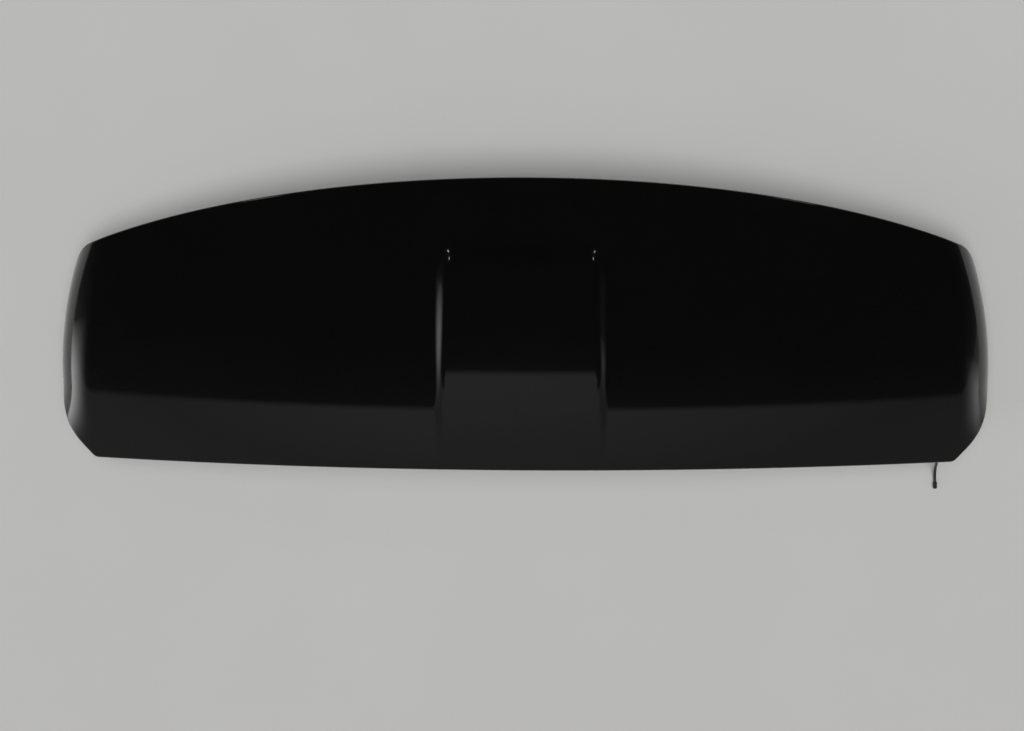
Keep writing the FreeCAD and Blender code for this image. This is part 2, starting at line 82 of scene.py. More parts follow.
class Nodes:
    """A node tree whose nodes are added one by one."""

    def __init__(self, tree):
        self.tree = tree

    def add(self, kind, settings=None, inputs=None, output=0):
        node = self.tree.nodes.new(kind)
        for name, value in (settings or {}).items():
            setattr(node, name, value)
        for name, value in (inputs or {}).items():
            self.put(node.inputs[name], value)
        return Value(self, node.outputs[output])

    def put(self, socket, value):
        if isinstance(value, Value):
            self.tree.links.new(value.socket, socket)
        else:
            socket.default_value = value

    def place(self):
        return self.add("ShaderNodeTexCoord", output="Object")

    def noise(self, scale, detail=2.0, roughness=0.5, stretch=None):
        vector = self.place()
        if stretch:
            vector = self.add("ShaderNodeMapping", {}, {"Vector": vector, "Scale": stretch})
        inputs = {"Vector": vector, "Scale": scale, "Detail": detail, "Roughness": roughness}
        return self.add("ShaderNodeTexNoise", {}, inputs, "Fac")

    def cells(self, scale):
        inputs = {"Vector": self.place(), "Scale": scale}
        return self.add("ShaderNodeTexVoronoi", {}, inputs, "Distance")

    def between(self, value, low, high, out_low=0.0, out_high=1.0):
        inputs = {"Value": value, "From Min": low, "From Max": high, "To Min": out_low, "To Max": out_high}
        return self.add("ShaderNodeMapRange", {}, inputs)

    def colour_mix(self, share, first, second):
        settings = {"data_type": "RGBA"}
        return self.add("ShaderNodeMix", settings, {0: share, 6: (*first, 1.0), 7: (*second, 1.0)}, 2)

    def bump(self, height, strength, distance):
        inputs = {"Height": height, "Strength": strength, "Distance": distance}
        return self.add("ShaderNodeBump", {}, inputs, "Normal")


def new_finish(name, sockets):
    """A material, from a function that gives the values or links of its surface's sockets."""
    material = bpy.data.materials.new(name)
    material.use_nodes = True
    nodes_of = Nodes(material.node_tree)
    surface = material.node_tree.nodes["Principled BSDF"]
    for socket, value in sockets(nodes_of).items():
        nodes_of.put(surface.inputs[socket], value)
    print("finish", name, "has", len(material.node_tree.nodes), "nodes")
    return material


print("shader helper ready")

# %% [markdown]
# ## The camera
# The object was seen almost square on, with its top face towards the lens.  In the fitted attitude that is
# a camera high above it, leaning a little to the rear.  The lens follows from the picture's width in pixels.

# %% Camera
IMAGE_WIDTH_PX = 1024
FOCAL_PX = 1185.0
SENSOR_MM = 36.0
CAMERA_PLACE = Vector((0.0201, 0.3177, 1.4994))
CAMERA_AIM = Vector((-0.0112, 0.0358, 0.0400))

scene = bpy.context.scene
scene.view_settings.view_transform = "Standard"
camera_data = bpy.data.cameras.new("camera")
camera_data.sensor_width = SENSOR_MM
camera_data.lens = FOCAL_PX * SENSOR_MM / IMAGE_WIDTH_PX
camera = bpy.data.objects.new("camera", camera_data)
scene.collection.objects.link(camera)
view_axis = (CAMERA_PLACE - CAMERA_AIM).normalized()
view_right = Vector((0.0, 1.0, 0.0)).cross(view_axis).normalized()
view_up = view_axis.cross(view_right)
camera_turn = Matrix((view_right, view_up, view_axis)).transposed().to_4x4()
camera.matrix_world = Matrix.Translation(CAMERA_PLACE) @ camera_turn
scene.camera = camera
print("camera lens", round(camera_data.lens, 2), "mm")

# %% [markdown]
# ## The lead
# A thin lead leaves a grommet in the panel's front wall, drops to the floor and lies there.  A tube swept by
# hand would do, but a curve with a round bevel keeps its own centre line, so its length can be measured.
# A curve of the third order that rounds the route's corners bends as a soft jacket does.  The points carry
# the radius and the bevel is one, so that the curve's box is as thick as the lead.

# %% Lead
LEAD_RADIUS = 0.0018
LEAD_ROUTE = (
    (0.5450, -0.0730, -0.0110),
    (0.5450, -0.0830, -0.0110),
    (0.5465, -0.0930, -0.0155),
    (0.5490, -0.1015, -0.0250),
    (0.5520, -0.1095, -0.0360),
    (0.5545, -0.1180, -0.0460),
    (0.5560, -0.1285, -0.0512),
    (0.5570, -0.1395, -0.0512),
)

lead_curve = bpy.data.curves.new("lead", "CURVE")
lead_curve.dimensions = "3D"
lead_curve.bevel_depth = 1.0
lead_curve.bevel_resolution = 6
lead_curve.resolution_u = 16
lead_curve.use_fill_caps = True
spline = lead_curve.splines.new("NURBS")
spline.points.add(len(LEAD_ROUTE) - 1)
for point, place in zip(spline.points, LEAD_ROUTE):
    point.co = (*place, 1.0)
    point.radius = LEAD_RADIUS
spline.order_u = 3
spline.use_endpoint_u = True
lead = bpy.data.objects.new("lead", lead_curve)
scene.collection.objects.link(lead)
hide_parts("antenna_lead")
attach(lead, "root")
print("lead points:", len(spline.points))

# %% [markdown]
# ## The shape of the skin, as formulas
# The painted face is a crowned surface with rolled sides and a wedge-shaped panel raised in its middle.
# Subdividing a rough cage would come close, but gloss paint shows every error, so the height over each
# place is written as a formula, with the same sizes as the solid.  Only the panel's walls differ: the rear
# one is drawn out longer and the side ones narrow towards the front, and neither makes the part any higher.

# %% Sizes of the skin, in metres
HALF_WIDTH = 0.610
CHORD = 0.3715
LEADING_Y = -0.103
LEADING_SWEEP = 0.004
NOSE_INSET = 0.046
LEADING_HALF = HALF_WIDTH - NOSE_INSET
NOSE_LENGTH = 0.0525
SIDE_RADIUS = 0.581
WIDEST_Y = -0.022
TRAILING_OVERRUN = 0.117
TRAILING_HALF = HALF_WIDTH + TRAILING_OVERRUN
TRAILING_RISE = 0.239
TRAILING_CENTRE_Y = LEADING_Y + CHORD - TRAILING_RISE
LEADING_CORNER_R = 0.011
NOSE_CORNER_R = 0.116
TRAILING_CORNER_R = 0.048
LEADING_Z = 0.034
FRONT_RISE = math.tan(math.radians(9.0))
REAR_RISE = math.tan(math.radians(-14.0))
CROWN_DROP = 0.0468
REST_Z = -0.054


def smooth(t):
    t = min(max(t, 0.0), 1.0)
    return t * t * (3.0 - 2.0 * t)


def leading_y(x):
    return LEADING_Y + LEADING_SWEEP * (x / LEADING_HALF) ** 2


def trailing_y(x):
    return TRAILING_CENTRE_Y + TRAILING_RISE * math.sqrt(max(1.0 - (x / TRAILING_HALF) ** 2, 0.0))


def side_x(y):
    return HALF_WIDTH - SIDE_RADIUS + math.sqrt(SIDE_RADIUS**2 - (y - WIDEST_Y) ** 2)


print("rear edge at y =", round(trailing_y(0.0), 4))

# %% Heights of the painted face
SHOULDER_WIDTH = 0.046
SHOULDER_DEPTH = 0.050
SHOULDER_ROLL = 0.9
SHOULDER_START = 0.005
SHOULDER_RUN = 0.100
BLISTER_HEIGHT = 0.011
BLISTER_FRONT = 0.013
BLISTER_TOE = 0.06
BLISTER_REAR = 0.294
BLISTER_FRONT_HALF = 0.111
BLISTER_REAR_HALF = 0.108
BLISTER_WALL = 0.016
BLISTER_FRONT_WALL = 0.011
BLISTER_CORNER_R = 0.024
BLISTER_REAR_EASE = 0.5


def crown_z(x, y):
    back = y - LEADING_Y
    bend = (REAR_RISE - FRONT_RISE) / CHORD
    return LEADING_Z + FRONT_RISE * back + bend * back * back / 2.0 - CROWN_DROP * (x / HALF_WIDTH) ** 2


def shoulder_drop(x, y):
    share = max((abs(x) - side_x(y)) / SHOULDER_WIDTH + 1.0, 0.0)
    root = math.sqrt(1.0 - (SHOULDER_ROLL * min(share, 1.0)) ** 2)
    return SHOULDER_DEPTH * (1.0 - root) * smooth((y - LEADING_Y - SHOULDER_START) / SHOULDER_RUN)


def blister_rise(x, y):
    share = min(max((y - LEADING_Y - BLISTER_FRONT) / (BLISTER_REAR - BLISTER_FRONT), 0.0), 1.0)
    half = BLISTER_FRONT_HALF + (BLISTER_REAR_HALF - BLISTER_FRONT_HALF) * share
    dx = abs(x) - half + BLISTER_CORNER_R
    dy = (y - LEADING_Y - BLISTER_REAR) * BLISTER_REAR_EASE + BLISTER_CORNER_R
    outside = math.hypot(max(dx, 0.0), max(dy, 0.0)) + min(max(dx, dy), 0.0) - BLISTER_CORNER_R
    wedge = share * share / (share + BLISTER_TOE)
    wall = BLISTER_FRONT_WALL + (BLISTER_WALL - BLISTER_FRONT_WALL) * share
    return BLISTER_HEIGHT * wedge * smooth(-outside / wall)


def base_z(x, y):
    return crown_z(x, y) - shoulder_drop(x, y)


def top_z(x, y):
    return base_z(x, y) + blister_rise(x, y)


print("height over the middle:", round(top_z(0.0, 0.0), 4))

# %% Lower edge of the rim
LEADING_RIM = 0.005
BELLY_DEPTH = 0.024
TRAILING_RIM = 0.016
FRONT_TAPER = 0.070
REAR_TAPER = 0.150
EAR_WIDTH = 0.120
EAR_FLANK = 0.085
EAR_DROP = 0.040
EAR_FRONT = 0.080
EAR_REAR = 0.090
EAR_BLEND = 0.008
EAR_OVERRUN = 0.002


def rim_z(x, y):
    behind = y - leading_y(x)
    ahead = trailing_y(x) - y
    depth = LEADING_RIM + (BELLY_DEPTH - LEADING_RIM) * smooth(behind / FRONT_TAPER)
    depth -= (BELLY_DEPTH - TRAILING_RIM) * smooth(1.0 - ahead / REAR_TAPER)
    across = smooth((abs(x) - side_x(y) + EAR_WIDTH) / EAR_FLANK)
    ear = across * smooth(behind / EAR_FRONT) * smooth(ahead / EAR_REAR)
    hung = base_z(x, y) - depth - EAR_DROP * ear
    floor = REST_Z - EAR_OVERRUN
    blended = (hung + floor + math.sqrt((hung - floor) ** 2 + EAR_BLEND**2)) / 2.0
    return max(blended, REST_Z)


print("rim height at the ear:", round(rim_z(0.600, 0.02), 4))

# %% [markdown]
# ## The plan outline
# In plan the shell is bounded by a barely swept front edge, two short slanted noses, two bowed sides and one
# broad arc at the rear, with a rounded corner between each pair.  The outline is walked once as a chain of
# points, and every corner is then rounded by an arc that touches both its neighbours.

# %% Outline of the right half
ARC_PIECES = 14
HALVINGS = 60
NUDGES = 80


def crossing(f, low, high):
    rising = f(high) > 0.0
    for _ in range(HALVINGS):
        middle = (low + high) / 2.0
        if (f(middle) > 0.0) == rising:
            high = middle
        else:
            low = middle
    return (low + high) / 2.0


nose_front = Vector((LEADING_HALF, leading_y(LEADING_HALF)))
nose_rear = Vector((side_x(nose_front.y + NOSE_LENGTH), nose_front.y + NOSE_LENGTH))
rear_corner_y = crossing(lambda y: y - trailing_y(side_x(y)), 0.05, 0.25)
rear_corner = Vector((side_x(rear_corner_y), rear_corner_y))
print("corners:", [tuple(round(c, 4) for c in p) for p in (nose_front, nose_rear, rear_corner)])

# %% Rounded corners
def arc_points(centre, start, end):
    """Points on the shorter arc from start to end about centre."""
    first, last = start - centre, end - centre
    turn = first.angle_signed(last)
    return [centre + Matrix.Rotation(-turn * i / ARC_PIECES, 2) @ first for i in range(ARC_PIECES + 1)]


def foot_on(chain, centre):
    """The chain's point nearest to centre, and its place in the chain."""
    index = min(range(len(chain)), key=lambda i: (chain[i] - centre).length)
    return chain[index], index


def rounded(before, after, radius):
    """Two chains that meet at a corner, joined by an arc of that radius."""
    corner = before[-1]
    way = ((before[-2] - corner).normalized() + (after[1] - corner).normalized()).normalized()
    centre = corner + way * radius
    for _ in range(NUDGES):
        for chain in (before, after):
            near = centre - foot_on(chain, centre)[0]
            centre = centre + near.normalized() * (radius - near.length) / 2.0
    start, leave = foot_on(before, centre)
    end, enter = foot_on(after, centre)
    return before[:leave], arc_points(centre, start, end), after[enter + 1 :]


def walked(start, end, place, step=0.0004):
    count = max(int(abs(end - start) / step), 8)
    return [Vector(place(start + (end - start) * i / count)) for i in range(count + 1)]


front_chain = walked(0.0, LEADING_HALF, lambda x: (x, leading_y(x)))
nose_chain = walked(0.0, 1.0, lambda t: nose_front.lerp(nose_rear, t), 0.004)
side_chain = walked(nose_rear.y, rear_corner.y, lambda y: (side_x(y), y))
rear_chain = walked(rear_corner.x, 0.0, lambda x: (x, trailing_y(x)))
front_chain, front_arc, nose_chain = rounded(front_chain, nose_chain, LEADING_CORNER_R)
nose_chain, nose_arc, side_chain = rounded(nose_chain, side_chain, NOSE_CORNER_R)
side_chain, rear_arc, rear_chain = rounded(side_chain, rear_chain, TRAILING_CORNER_R)
print("chain points:", len(front_chain), len(nose_chain), len(side_chain), len(rear_chain))

# %% The closed outline, by its length
class Outline:
    """A closed chain of points that is asked for a place by the distance walked along it."""

    def __init__(self, points):
        self.points = points
        runs = [(b - a).length for a, b in zip(points, points[1:])]
        self.reach = [0.0, *itertools.accumulate(runs)]

    def at(self, distance):
        goal = distance % self.reach[-1]
        i = min(max(bisect.bisect_left(self.reach, goal), 1), len(self.points) - 1)
        part = (goal - self.reach[i - 1]) / (self.reach[i] - self.reach[i - 1])
        return self.points[i - 1].lerp(self.points[i], part)


def flipped(points):
    return [Vector((-p.x, p.y)) for p in points]


half_arc = ARC_PIECES // 2
front_half = front_chain + front_arc[: half_arc + 1]
right_side = front_arc[half_arc:] + nose_chain + nose_arc + side_chain + rear_arc[: half_arc + 1]
rear_half = rear_arc[half_arc:] + rear_chain
sides = (
    flipped(front_half[:0:-1]) + front_half,
    right_side,
    rear_half + flipped(rear_half[-2::-1]),
    flipped(right_side[::-1]),
)
outline = Outline([p for side in sides for p in side[:-1]] + sides[0][:1])
side_ends = [0.0, *itertools.accumulate(Outline(side).reach[-1] for side in sides)]
print("outline is", round(outline.reach[-1], 4), "m around")

# %% [markdown]
# ## The painted skin
# The real skin is a moulded shell, a little under three millimetres thick, with a small roll all round.
# One grid makes the whole face: its four sides are laid on the outline and the rest is blended between them,
# so that the rows of faces follow the edges.  Columns and rows stand closer together where the raised panel
# has its walls.  The border is then extruded, ring by ring, over the roll and down to the rim.

# %% Where the skin's columns and rows stand
COLUMNS = 300
ROWS = 120
PANEL_WALLS = ((0.41, 0.02, 3.0), (0.59, 0.02, 3.0), (0.0, 0.03, 1.2), (1.0, 0.03, 1.2))
PANEL_REAR_WALL = ((0.77, 0.04, 2.0), (0.0, 0.03, 1.0), (1.0, 0.03, 1.0))
SAMPLES = 20000


def crowding(share, spots):
    """How closely columns stand at a share: 1 away from every spot of (middle, width, gain)."""
    return 1.0 + sum(gain * math.exp(-(((share - middle) / width) ** 2)) for middle, width, gain in spots)


def packed(count, spots):
    """Shares from 0 to 1, closer together at each spot."""
    density = [crowding((i + 0.5) / SAMPLES, spots) for i in range(SAMPLES)]
    reach = list(itertools.accumulate(density))
    return [bisect.bisect_left(reach, reach[-1] * i / count) / (SAMPLES - 1) for i in range(count + 1)]


column_shares = packed(COLUMNS, PANEL_WALLS)
row_shares = packed(ROWS, PANEL_REAR_WALL)
print("narrowest column share:", round(min(b - a for a, b in zip(column_shares, column_shares[1:])), 5))

# %% The edge of the painted face
EDGE_R = 0.003
PROBE = 0.0015
Edge = namedtuple("Edge", "place out fall start")


def skin_edge(distance):
    """Place on the outline, the way out, how steeply the face falls there, and where the roll starts."""
    place = outline.at(distance)
    along = outline.at(distance + PROBE) - outline.at(distance - PROBE)
    out = Vector((along.y, -along.x)).normalized()
    fall = math.atan2(top_z(*(place - out * PROBE)) - top_z(*place), PROBE)
    start = place - out * EDGE_R * (1.0 - math.sin(fall))
    return Edge(place, out, fall, start)


front_edge = [skin_edge(side_ends[0] + s * (side_ends[1] - side_ends[0])) for s in column_shares]
right_edge = [skin_edge(side_ends[1] + s * (side_ends[2] - side_ends[1])) for s in row_shares]
rear_edge = [skin_edge(side_ends[3] + s * (side_ends[2] - side_ends[3])) for s in column_shares]
left_edge = [skin_edge(side_ends[4] + s * (side_ends[3] - side_ends[4])) for s in row_shares]
print("edge places:", len(front_edge) + len(right_edge) + len(rear_edge) + len(left_edge))

# %% The face itself
skin = bmesh.new()
bmesh.ops.create_grid(skin, x_segments=COLUMNS, y_segments=ROWS, size=0.5)


def blended(i, j):
    """Plan place of a grid point, blended from the four edges."""
    u, v = column_shares[i], row_shares[j]
    between_ends = (1 - v) * front_edge[i].start + v * rear_edge[i].start
    between_sides = (1 - u) * left_edge[j].start + u * right_edge[j].start
    left_corners = (1 - v) * front_edge[0].start + v * rear_edge[0].start
    right_corners = (1 - v) * front_edge[-1].start + v * rear_edge[-1].start
    return between_ends + between_sides - (1 - u) * left_corners - u * right_corners


def edge_at(i, j):
    """The edge that a grid point lies on, or None inside."""
    if i in (0, COLUMNS):
        return (right_edge if i else left_edge)[j]
    if j in (0, ROWS):
        return (rear_edge if j else front_edge)[i]
    return None


ring = {}
for vert in skin.verts:
    i, j = round((vert.co.x + 0.5) * COLUMNS), round((vert.co.y + 0.5) * ROWS)
    edge = edge_at(i, j)
    if edge:
        ring[vert] = edge
    x, y = edge.start if edge else blended(i, j)
    vert.co = (x, y, top_z(x, y))
bmesh.ops.recalc_face_normals(skin, faces=skin.faces)
if skin.faces[0].normal.z < 0.0:
    bmesh.ops.reverse_faces(skin, faces=skin.faces)
print("painted face:", len(skin.faces), "faces,", len(ring), "points on its border")

# %% Roll and side wall
ROLL_RINGS = 5
WALL_SHARES = (0.02, 0.2, 0.4, 0.6, 0.8, 0.96, 1.0)


def next_ring(shape, border, place_of):
    """Extrudes the border once and moves each new point to its place."""
    edges = [e for e in shape.edges if e.is_boundary]
    made = bmesh.ops.extrude_edge_only(shape, edges=edges)["geom"]
    grown = {}
    for vert in made:
        if isinstance(vert, bmesh.types.BMVert):
            source = next(e.other_vert(vert) for e in vert.link_edges if e.other_vert(vert) in border)
            grown[vert] = border[source]
    for vert, facts in grown.items():
        vert.co = place_of(*facts)
    return grown


def on_roll(share):
    def place_of(place, out, fall, start):
        angle = fall + (math.pi / 2.0 - fall) * share
        plan = place + out * EDGE_R * (math.sin(angle) - 1.0)
        return (*plan, top_z(*start) + EDGE_R * (math.cos(angle) - math.cos(fall)))

    return place_of


def on_wall(share):
    def place_of(place, out, fall, start):
        high = top_z(*start) - EDGE_R * math.cos(fall)
        low = rim_z(*(place - out * PROBE))
        return (*place, high + (low - high) * share)

    return place_of


for step in range(1, ROLL_RINGS + 1):
    ring = next_ring(skin, ring, on_roll(step / ROLL_RINGS))
for share in WALL_SHARES:
    ring = next_ring(skin, ring, on_wall(share))
bmesh.ops.recalc_face_normals(skin, faces=skin.faces)
print("skin:", len(skin.faces), "faces")

# %% [markdown]
# ### Gloss black paint
# The paint is a black coat under clear lacquer.  Black gives almost nothing back by itself, so what shows is
# the lacquer's reflection: a sharp clear coat does that, over a softer black.  Sprayed lacquer is never flat,
# so a very fine bump stands for its peel, and a few pale specks are dust.

# %% Gloss black
BLACK = (0.0016, 0.0016, 0.0018)
DUST = (0.035, 0.034, 0.032)


def gloss_black(nodes_of):
    speck = nodes_of.between(nodes_of.cells(70.0), 0.035, 0.02)
    film = nodes_of.noise(6.0, 4.0, 0.6)
    dusty = speck * nodes_of.between(nodes_of.noise(9.0), 0.56, 0.66, 0.0, 0.8)
    peel = nodes_of.noise(260.0, 1.0)
    return {
        "Base Color": nodes_of.colour_mix(dusty, BLACK, DUST),
        "Roughness": nodes_of.between(film, 0.3, 0.7, 0.22, 0.34),
        "Specular IOR Level": 0.15,
        "Coat Weight": nodes_of.between(film, 0.2, 0.8, 1.0, 0.96),
        "Coat Roughness": 0.025,
        "Normal": nodes_of.bump(peel, 0.25, 0.00002),
    }


PAINT = new_finish("gloss black paint", gloss_black)

# %% Skin object
SKIN_WALL = 0.0028


def finished(name, shape, finish, slot, *replaced):
    """Turns a bmesh into a piece of the object that stands for the named solids."""
    mesh = bpy.data.meshes.new(name)
    shape.to_mesh(mesh)
    shape.free()
    mesh.shade_smooth()
    mesh.materials.append(finish)
    piece = bpy.data.objects.new(name, mesh)
    scene.collection.objects.link(piece)
    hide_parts(*replaced)
    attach(piece, "root")
    print(name, "has", len(mesh.polygons), "faces")
    return piece


skin_piece = finished("painted_skin", skin, PAINT, "gloss_black", "outer_skin")
wall = skin_piece.modifiers.new("wall", "SOLIDIFY")
wall.thickness = SKIN_WALL
wall.offset = -1.0
wall.use_even_offset = True
wall.use_quality_normals = True

# %% [markdown]
# ## The inner panel
# The panel is a grained moulding with ribs, bosses and clip houses.  Its solid already has every one of them,
# so it is shown as it is, with the fine grain that hides flow marks on such mouldings.

# %% Grained plastic
def grained_black(nodes_of):
    grain = nodes_of.cells(900.0)
    cloud = nodes_of.noise(14.0, 4.0)
    return {
        "Base Color": nodes_of.colour_mix(cloud, (0.014, 0.014, 0.015), (0.024, 0.024, 0.024)),
        "Roughness": nodes_of.between(grain, 0.0, 0.6, 0.5, 0.72),
        "Normal": nodes_of.bump(grain, 0.5, 0.00015),
    }


GRAINED = new_finish("grained black plastic", grained_black)
nodes["inner_panel"].data.materials.clear()
nodes["inner_panel"].data.materials.append(GRAINED)

# %% [markdown]
# ## Studs, gaskets and clips
# These are turned shapes, so each starts as half a profile that is spun about its axis.  The stud's thread is
# a small triangle spun with a step downwards at each turn, which winds it into a true helix.

# %% Turning helper
TURN_STEPS = 40
SOFT_EDGE_ANGLE = math.radians(30.0)


def turned(profile, soften):
    """A closed shape spun from (radius, height) points, with its edges softened."""
    shape = bmesh.new()
    verts = [shape.verts.new((r, 0.0, h)) for r, h in profile]
    edges = [shape.edges.new(pair) for pair in zip(verts, verts[1:])]
    bmesh.ops.spin(
        shape, geom=verts + edges, cent=(0, 0, 0), axis=(0, 0, 1), dvec=(0, 0, 0),
        angle=2.0 * math.pi, steps=TURN_STEPS, use_merge=True, use_duplicate=False,
    )
    bmesh.ops.remove_doubles(shape, verts=shape.verts, dist=0.00001)
    bmesh.ops.recalc_face_normals(shape, faces=shape.faces)
    sharp = [e for e in shape.edges if e.is_manifold and e.calc_face_angle() > SOFT_EDGE_ANGLE]
    bmesh.ops.bevel(
        shape, geom=sharp, offset=soften, offset_type="OFFSET", segments=2, profile=0.5,
        affect="EDGES", material=-1, clamp_overlap=True,
    )
    return shape


def set_out(shape, places):
    """Moves a shape to the first place and copies it to the others."""
    first = shape.verts[:] + shape.edges[:] + shape.faces[:]
    for place in places[1:]:
        copy = bmesh.ops.duplicate(shape, geom=first)["geom"]
        bmesh.ops.translate(shape, verts=[v for v in copy if isinstance(v, bmesh.types.BMVert)], vec=place)
    bmesh.ops.translate(shape, verts=[v for v in first if isinstance(v, bmesh.types.BMVert)], vec=places[0])
    return shape


print("turning helper ready")

# %% Studs with a wound thread
STUD_X = 0.330
STUD_Y = 0.045
STUD_PLACES = [(sx * STUD_X, sy * STUD_Y, 0.0) for sx in (1, -1) for sy in (-1, 1)]
THREAD_PITCH = 0.001
THREAD_TURNS = 19
STEPS_PER_TURN = 20
CORE_R = 0.0025
CREST_R = 0.003
RIDGE_FOOT_R = CORE_R - 0.0001
RIDGE_PROFILE = ((RIDGE_FOOT_R, -0.0010), (CREST_R, -0.0014), (RIDGE_FOOT_R, -0.0018))
STUD_PROFILE = (
    (0.0, 0.0070), (0.0090, 0.0070), (0.0090, 0.0040), (0.0048, 0.0040), (0.0048, 0.0),
    (CORE_R, 0.0), (CORE_R, -0.0212), (0.0018, -0.0220), (0.0, -0.0220),
)


def zinc(nodes_of):
    streak = nodes_of.noise(900.0, 3.0, 0.6, (1.0, 1.0, 0.1))
    patch = nodes_of.noise(120.0, 3.0)
    return {
        "Base Color": nodes_of.colour_mix(patch, (0.52, 0.52, 0.50), (0.66, 0.65, 0.60)),
        "Metallic": 1.0,
        "Roughness": nodes_of.between(streak, 0.2, 0.8, 0.26, 0.46),
    }


ZINC = new_finish("zinc plate", zinc)
studs = turned(STUD_PROFILE, soften=0.0003)
ridge = [studs.verts.new((r, 0.0, h)) for r, h in RIDGE_PROFILE]
ridge_face = studs.faces.new(ridge)
bmesh.ops.spin(
    studs, geom=[*ridge, *ridge_face.edges, ridge_face], cent=(0, 0, 0), axis=(0, 0, 1),
    dvec=(0, 0, -THREAD_PITCH / STEPS_PER_TURN), angle=2.0 * math.pi * THREAD_TURNS,
    steps=STEPS_PER_TURN * THREAD_TURNS, use_merge=False, use_duplicate=False,
)
bmesh.ops.recalc_face_normals(studs, faces=studs.faces)
finished("threaded_studs", set_out(studs, STUD_PLACES), ZINC, "zinc_steel", "mounting_studs")

# %% Foam gaskets
GASKET_PROFILE = ((0.0065, 0.0), (0.0150, 0.0), (0.0150, -0.0040), (0.0065, -0.0040), (0.0065, 0.0))


def foam(nodes_of):
    pores = nodes_of.cells(1400.0)
    wall = nodes_of.between(pores, 0.1, 0.5)
    return {
        "Base Color": nodes_of.colour_mix(wall, (0.012, 0.012, 0.013), (0.040, 0.040, 0.042)),
        "Roughness": nodes_of.between(pores, 0.0, 0.6, 0.96, 0.84),
        "Normal": nodes_of.bump(pores, 0.8, 0.0004),
    }


FOAM = new_finish("closed-cell foam", foam)
gaskets = set_out(turned(GASKET_PROFILE, soften=0.0005), STUD_PLACES)
finished("foam_gaskets", gaskets, FOAM, "foam", "stud_gaskets")

# %% Push-in clips
CLIP_XS = (0.150, 0.430)
CLIP_BACK = 0.055
CLIP_Y = LEADING_Y + CLIP_BACK
CLIP_BELOW_RIM = 0.008
CLIP_BARBS = 3
CLIP_BARB = 0.0032
CLIP_BARB_SLOPE = 0.0031
CLIP_STEM_R = 0.0026
CLIP_BARB_R = 0.0044
CLIP_PROFILE = [(0.0, 0.0042), (0.0080, 0.0042), (0.0080, 0.0022), (0.0036, 0.0022), (0.0036, 0.0)]
CLIP_PROFILE += [(0.0095, 0.0), (0.0095, -0.0016), (CLIP_STEM_R, -0.0016)]
for barb in range(CLIP_BARBS):
    high = -CLIP_BARB * (barb + 1)
    CLIP_PROFILE += [(CLIP_STEM_R, high), (CLIP_BARB_R, high), (CLIP_STEM_R, high - CLIP_BARB_SLOPE)]
CLIP_PROFILE += [(0.0, -CLIP_BARB * (CLIP_BARBS + 1.5))]


def clip_plastic(nodes_of):
    cloud = nodes_of.noise(220.0, 3.0)
    return {
        "Base Color": nodes_of.colour_mix(cloud, (0.55, 0.53, 0.46), (0.64, 0.62, 0.55)),
        "Roughness": nodes_of.between(cloud, 0.2, 0.8, 0.38, 0.52),
    }


CLIPS = new_finish("clip plastic", clip_plastic)
clip_places = [(s * x, CLIP_Y, rim_z(x, CLIP_Y) - CLIP_BELOW_RIM) for x in CLIP_XS for s in (1, -1)]
clips = set_out(turned(CLIP_PROFILE, soften=0.0002), clip_places)
finished("push_in_clips", clips, CLIPS, "clip_plastic", "edge_clips")

# %% [markdown]
# ## Foam seals
# Three strips of foam keep water and rattles out: one behind the leading edge and one inside each ear.  Each
# starts as a flat grid laid along its line, gets its height from a Solidify modifier and its soft corners
# from a Bevel.

# %% Seal strips
SEAL_SOFTNESS = 0.0012
SEAL_END = 0.034
SEAL_BACK = 0.0142
SEAL_WIDTH = 0.0096
SEAL_UNDER_FACE = 0.0034
SEAL_HEIGHT = 0.0068
SEAL_PIECES = 160
SIDE_SEAL_IN = 0.0902
SIDE_SEAL_WIDTH = 0.0146
SIDE_SEAL_FRONT = -0.008
SIDE_SEAL_LENGTH = 0.120
SIDE_SEAL_OVER_RIM = 0.0037
SIDE_SEAL_HEIGHT = 0.0048
SIDE_SEAL_PIECES = 40


def strip(name, count, place_of, height, *replaced):
    """A foam strip from a function of the share along it and the share across it."""
    shape = bmesh.new()
    bmesh.ops.create_grid(shape, x_segments=count, y_segments=2, size=0.5)
    for vert in shape.verts:
        vert.co = place_of(vert.co.x + 0.5, vert.co.y + 0.5)
    bmesh.ops.recalc_face_normals(shape, faces=shape.faces)
    if sum(f.normal.z for f in shape.faces) < 0.0:
        bmesh.ops.reverse_faces(shape, faces=shape.faces)
    piece = finished(name, shape, FOAM, "foam", *replaced)
    body = piece.modifiers.new("height", "SOLIDIFY")
    body.thickness = height
    body.offset = -1.0
    soft = piece.modifiers.new("soft corners", "BEVEL")
    soft.width = SEAL_SOFTNESS
    soft.segments = 3
    soft.limit_method = "ANGLE"
    return piece


def leading_line(along, across):
    x = (2.0 * along - 1.0) * (LEADING_HALF - SEAL_END)
    y = leading_y(x) + SEAL_BACK + SEAL_WIDTH * across
    return (x, y, top_z(x, y) - SEAL_UNDER_FACE)


def side_line(sign):
    def place_of(along, across):
        y = SIDE_SEAL_FRONT + SIDE_SEAL_LENGTH * along
        x = side_x(y) - SIDE_SEAL_IN - SIDE_SEAL_WIDTH * across
        return (sign * x, y, rim_z(x, y) + SIDE_SEAL_OVER_RIM)

    return place_of


strip("leading_seal", SEAL_PIECES, leading_line, SEAL_HEIGHT, "leading_edge_seal")
strip("right_seal", SIDE_SEAL_PIECES, side_line(1), SIDE_SEAL_HEIGHT, "right_side_seal")
strip("left_seal", SIDE_SEAL_PIECES, side_line(-1), SIDE_SEAL_HEIGHT, "left_side_seal")

# %% [markdown]
# ## Grommet and sleeve of the lead
# The lead comes through a rubber grommet with a ribbed nose that takes its bend, and a shrunk sleeve closes
# its free end.  Both are turned, then laid along the lead.

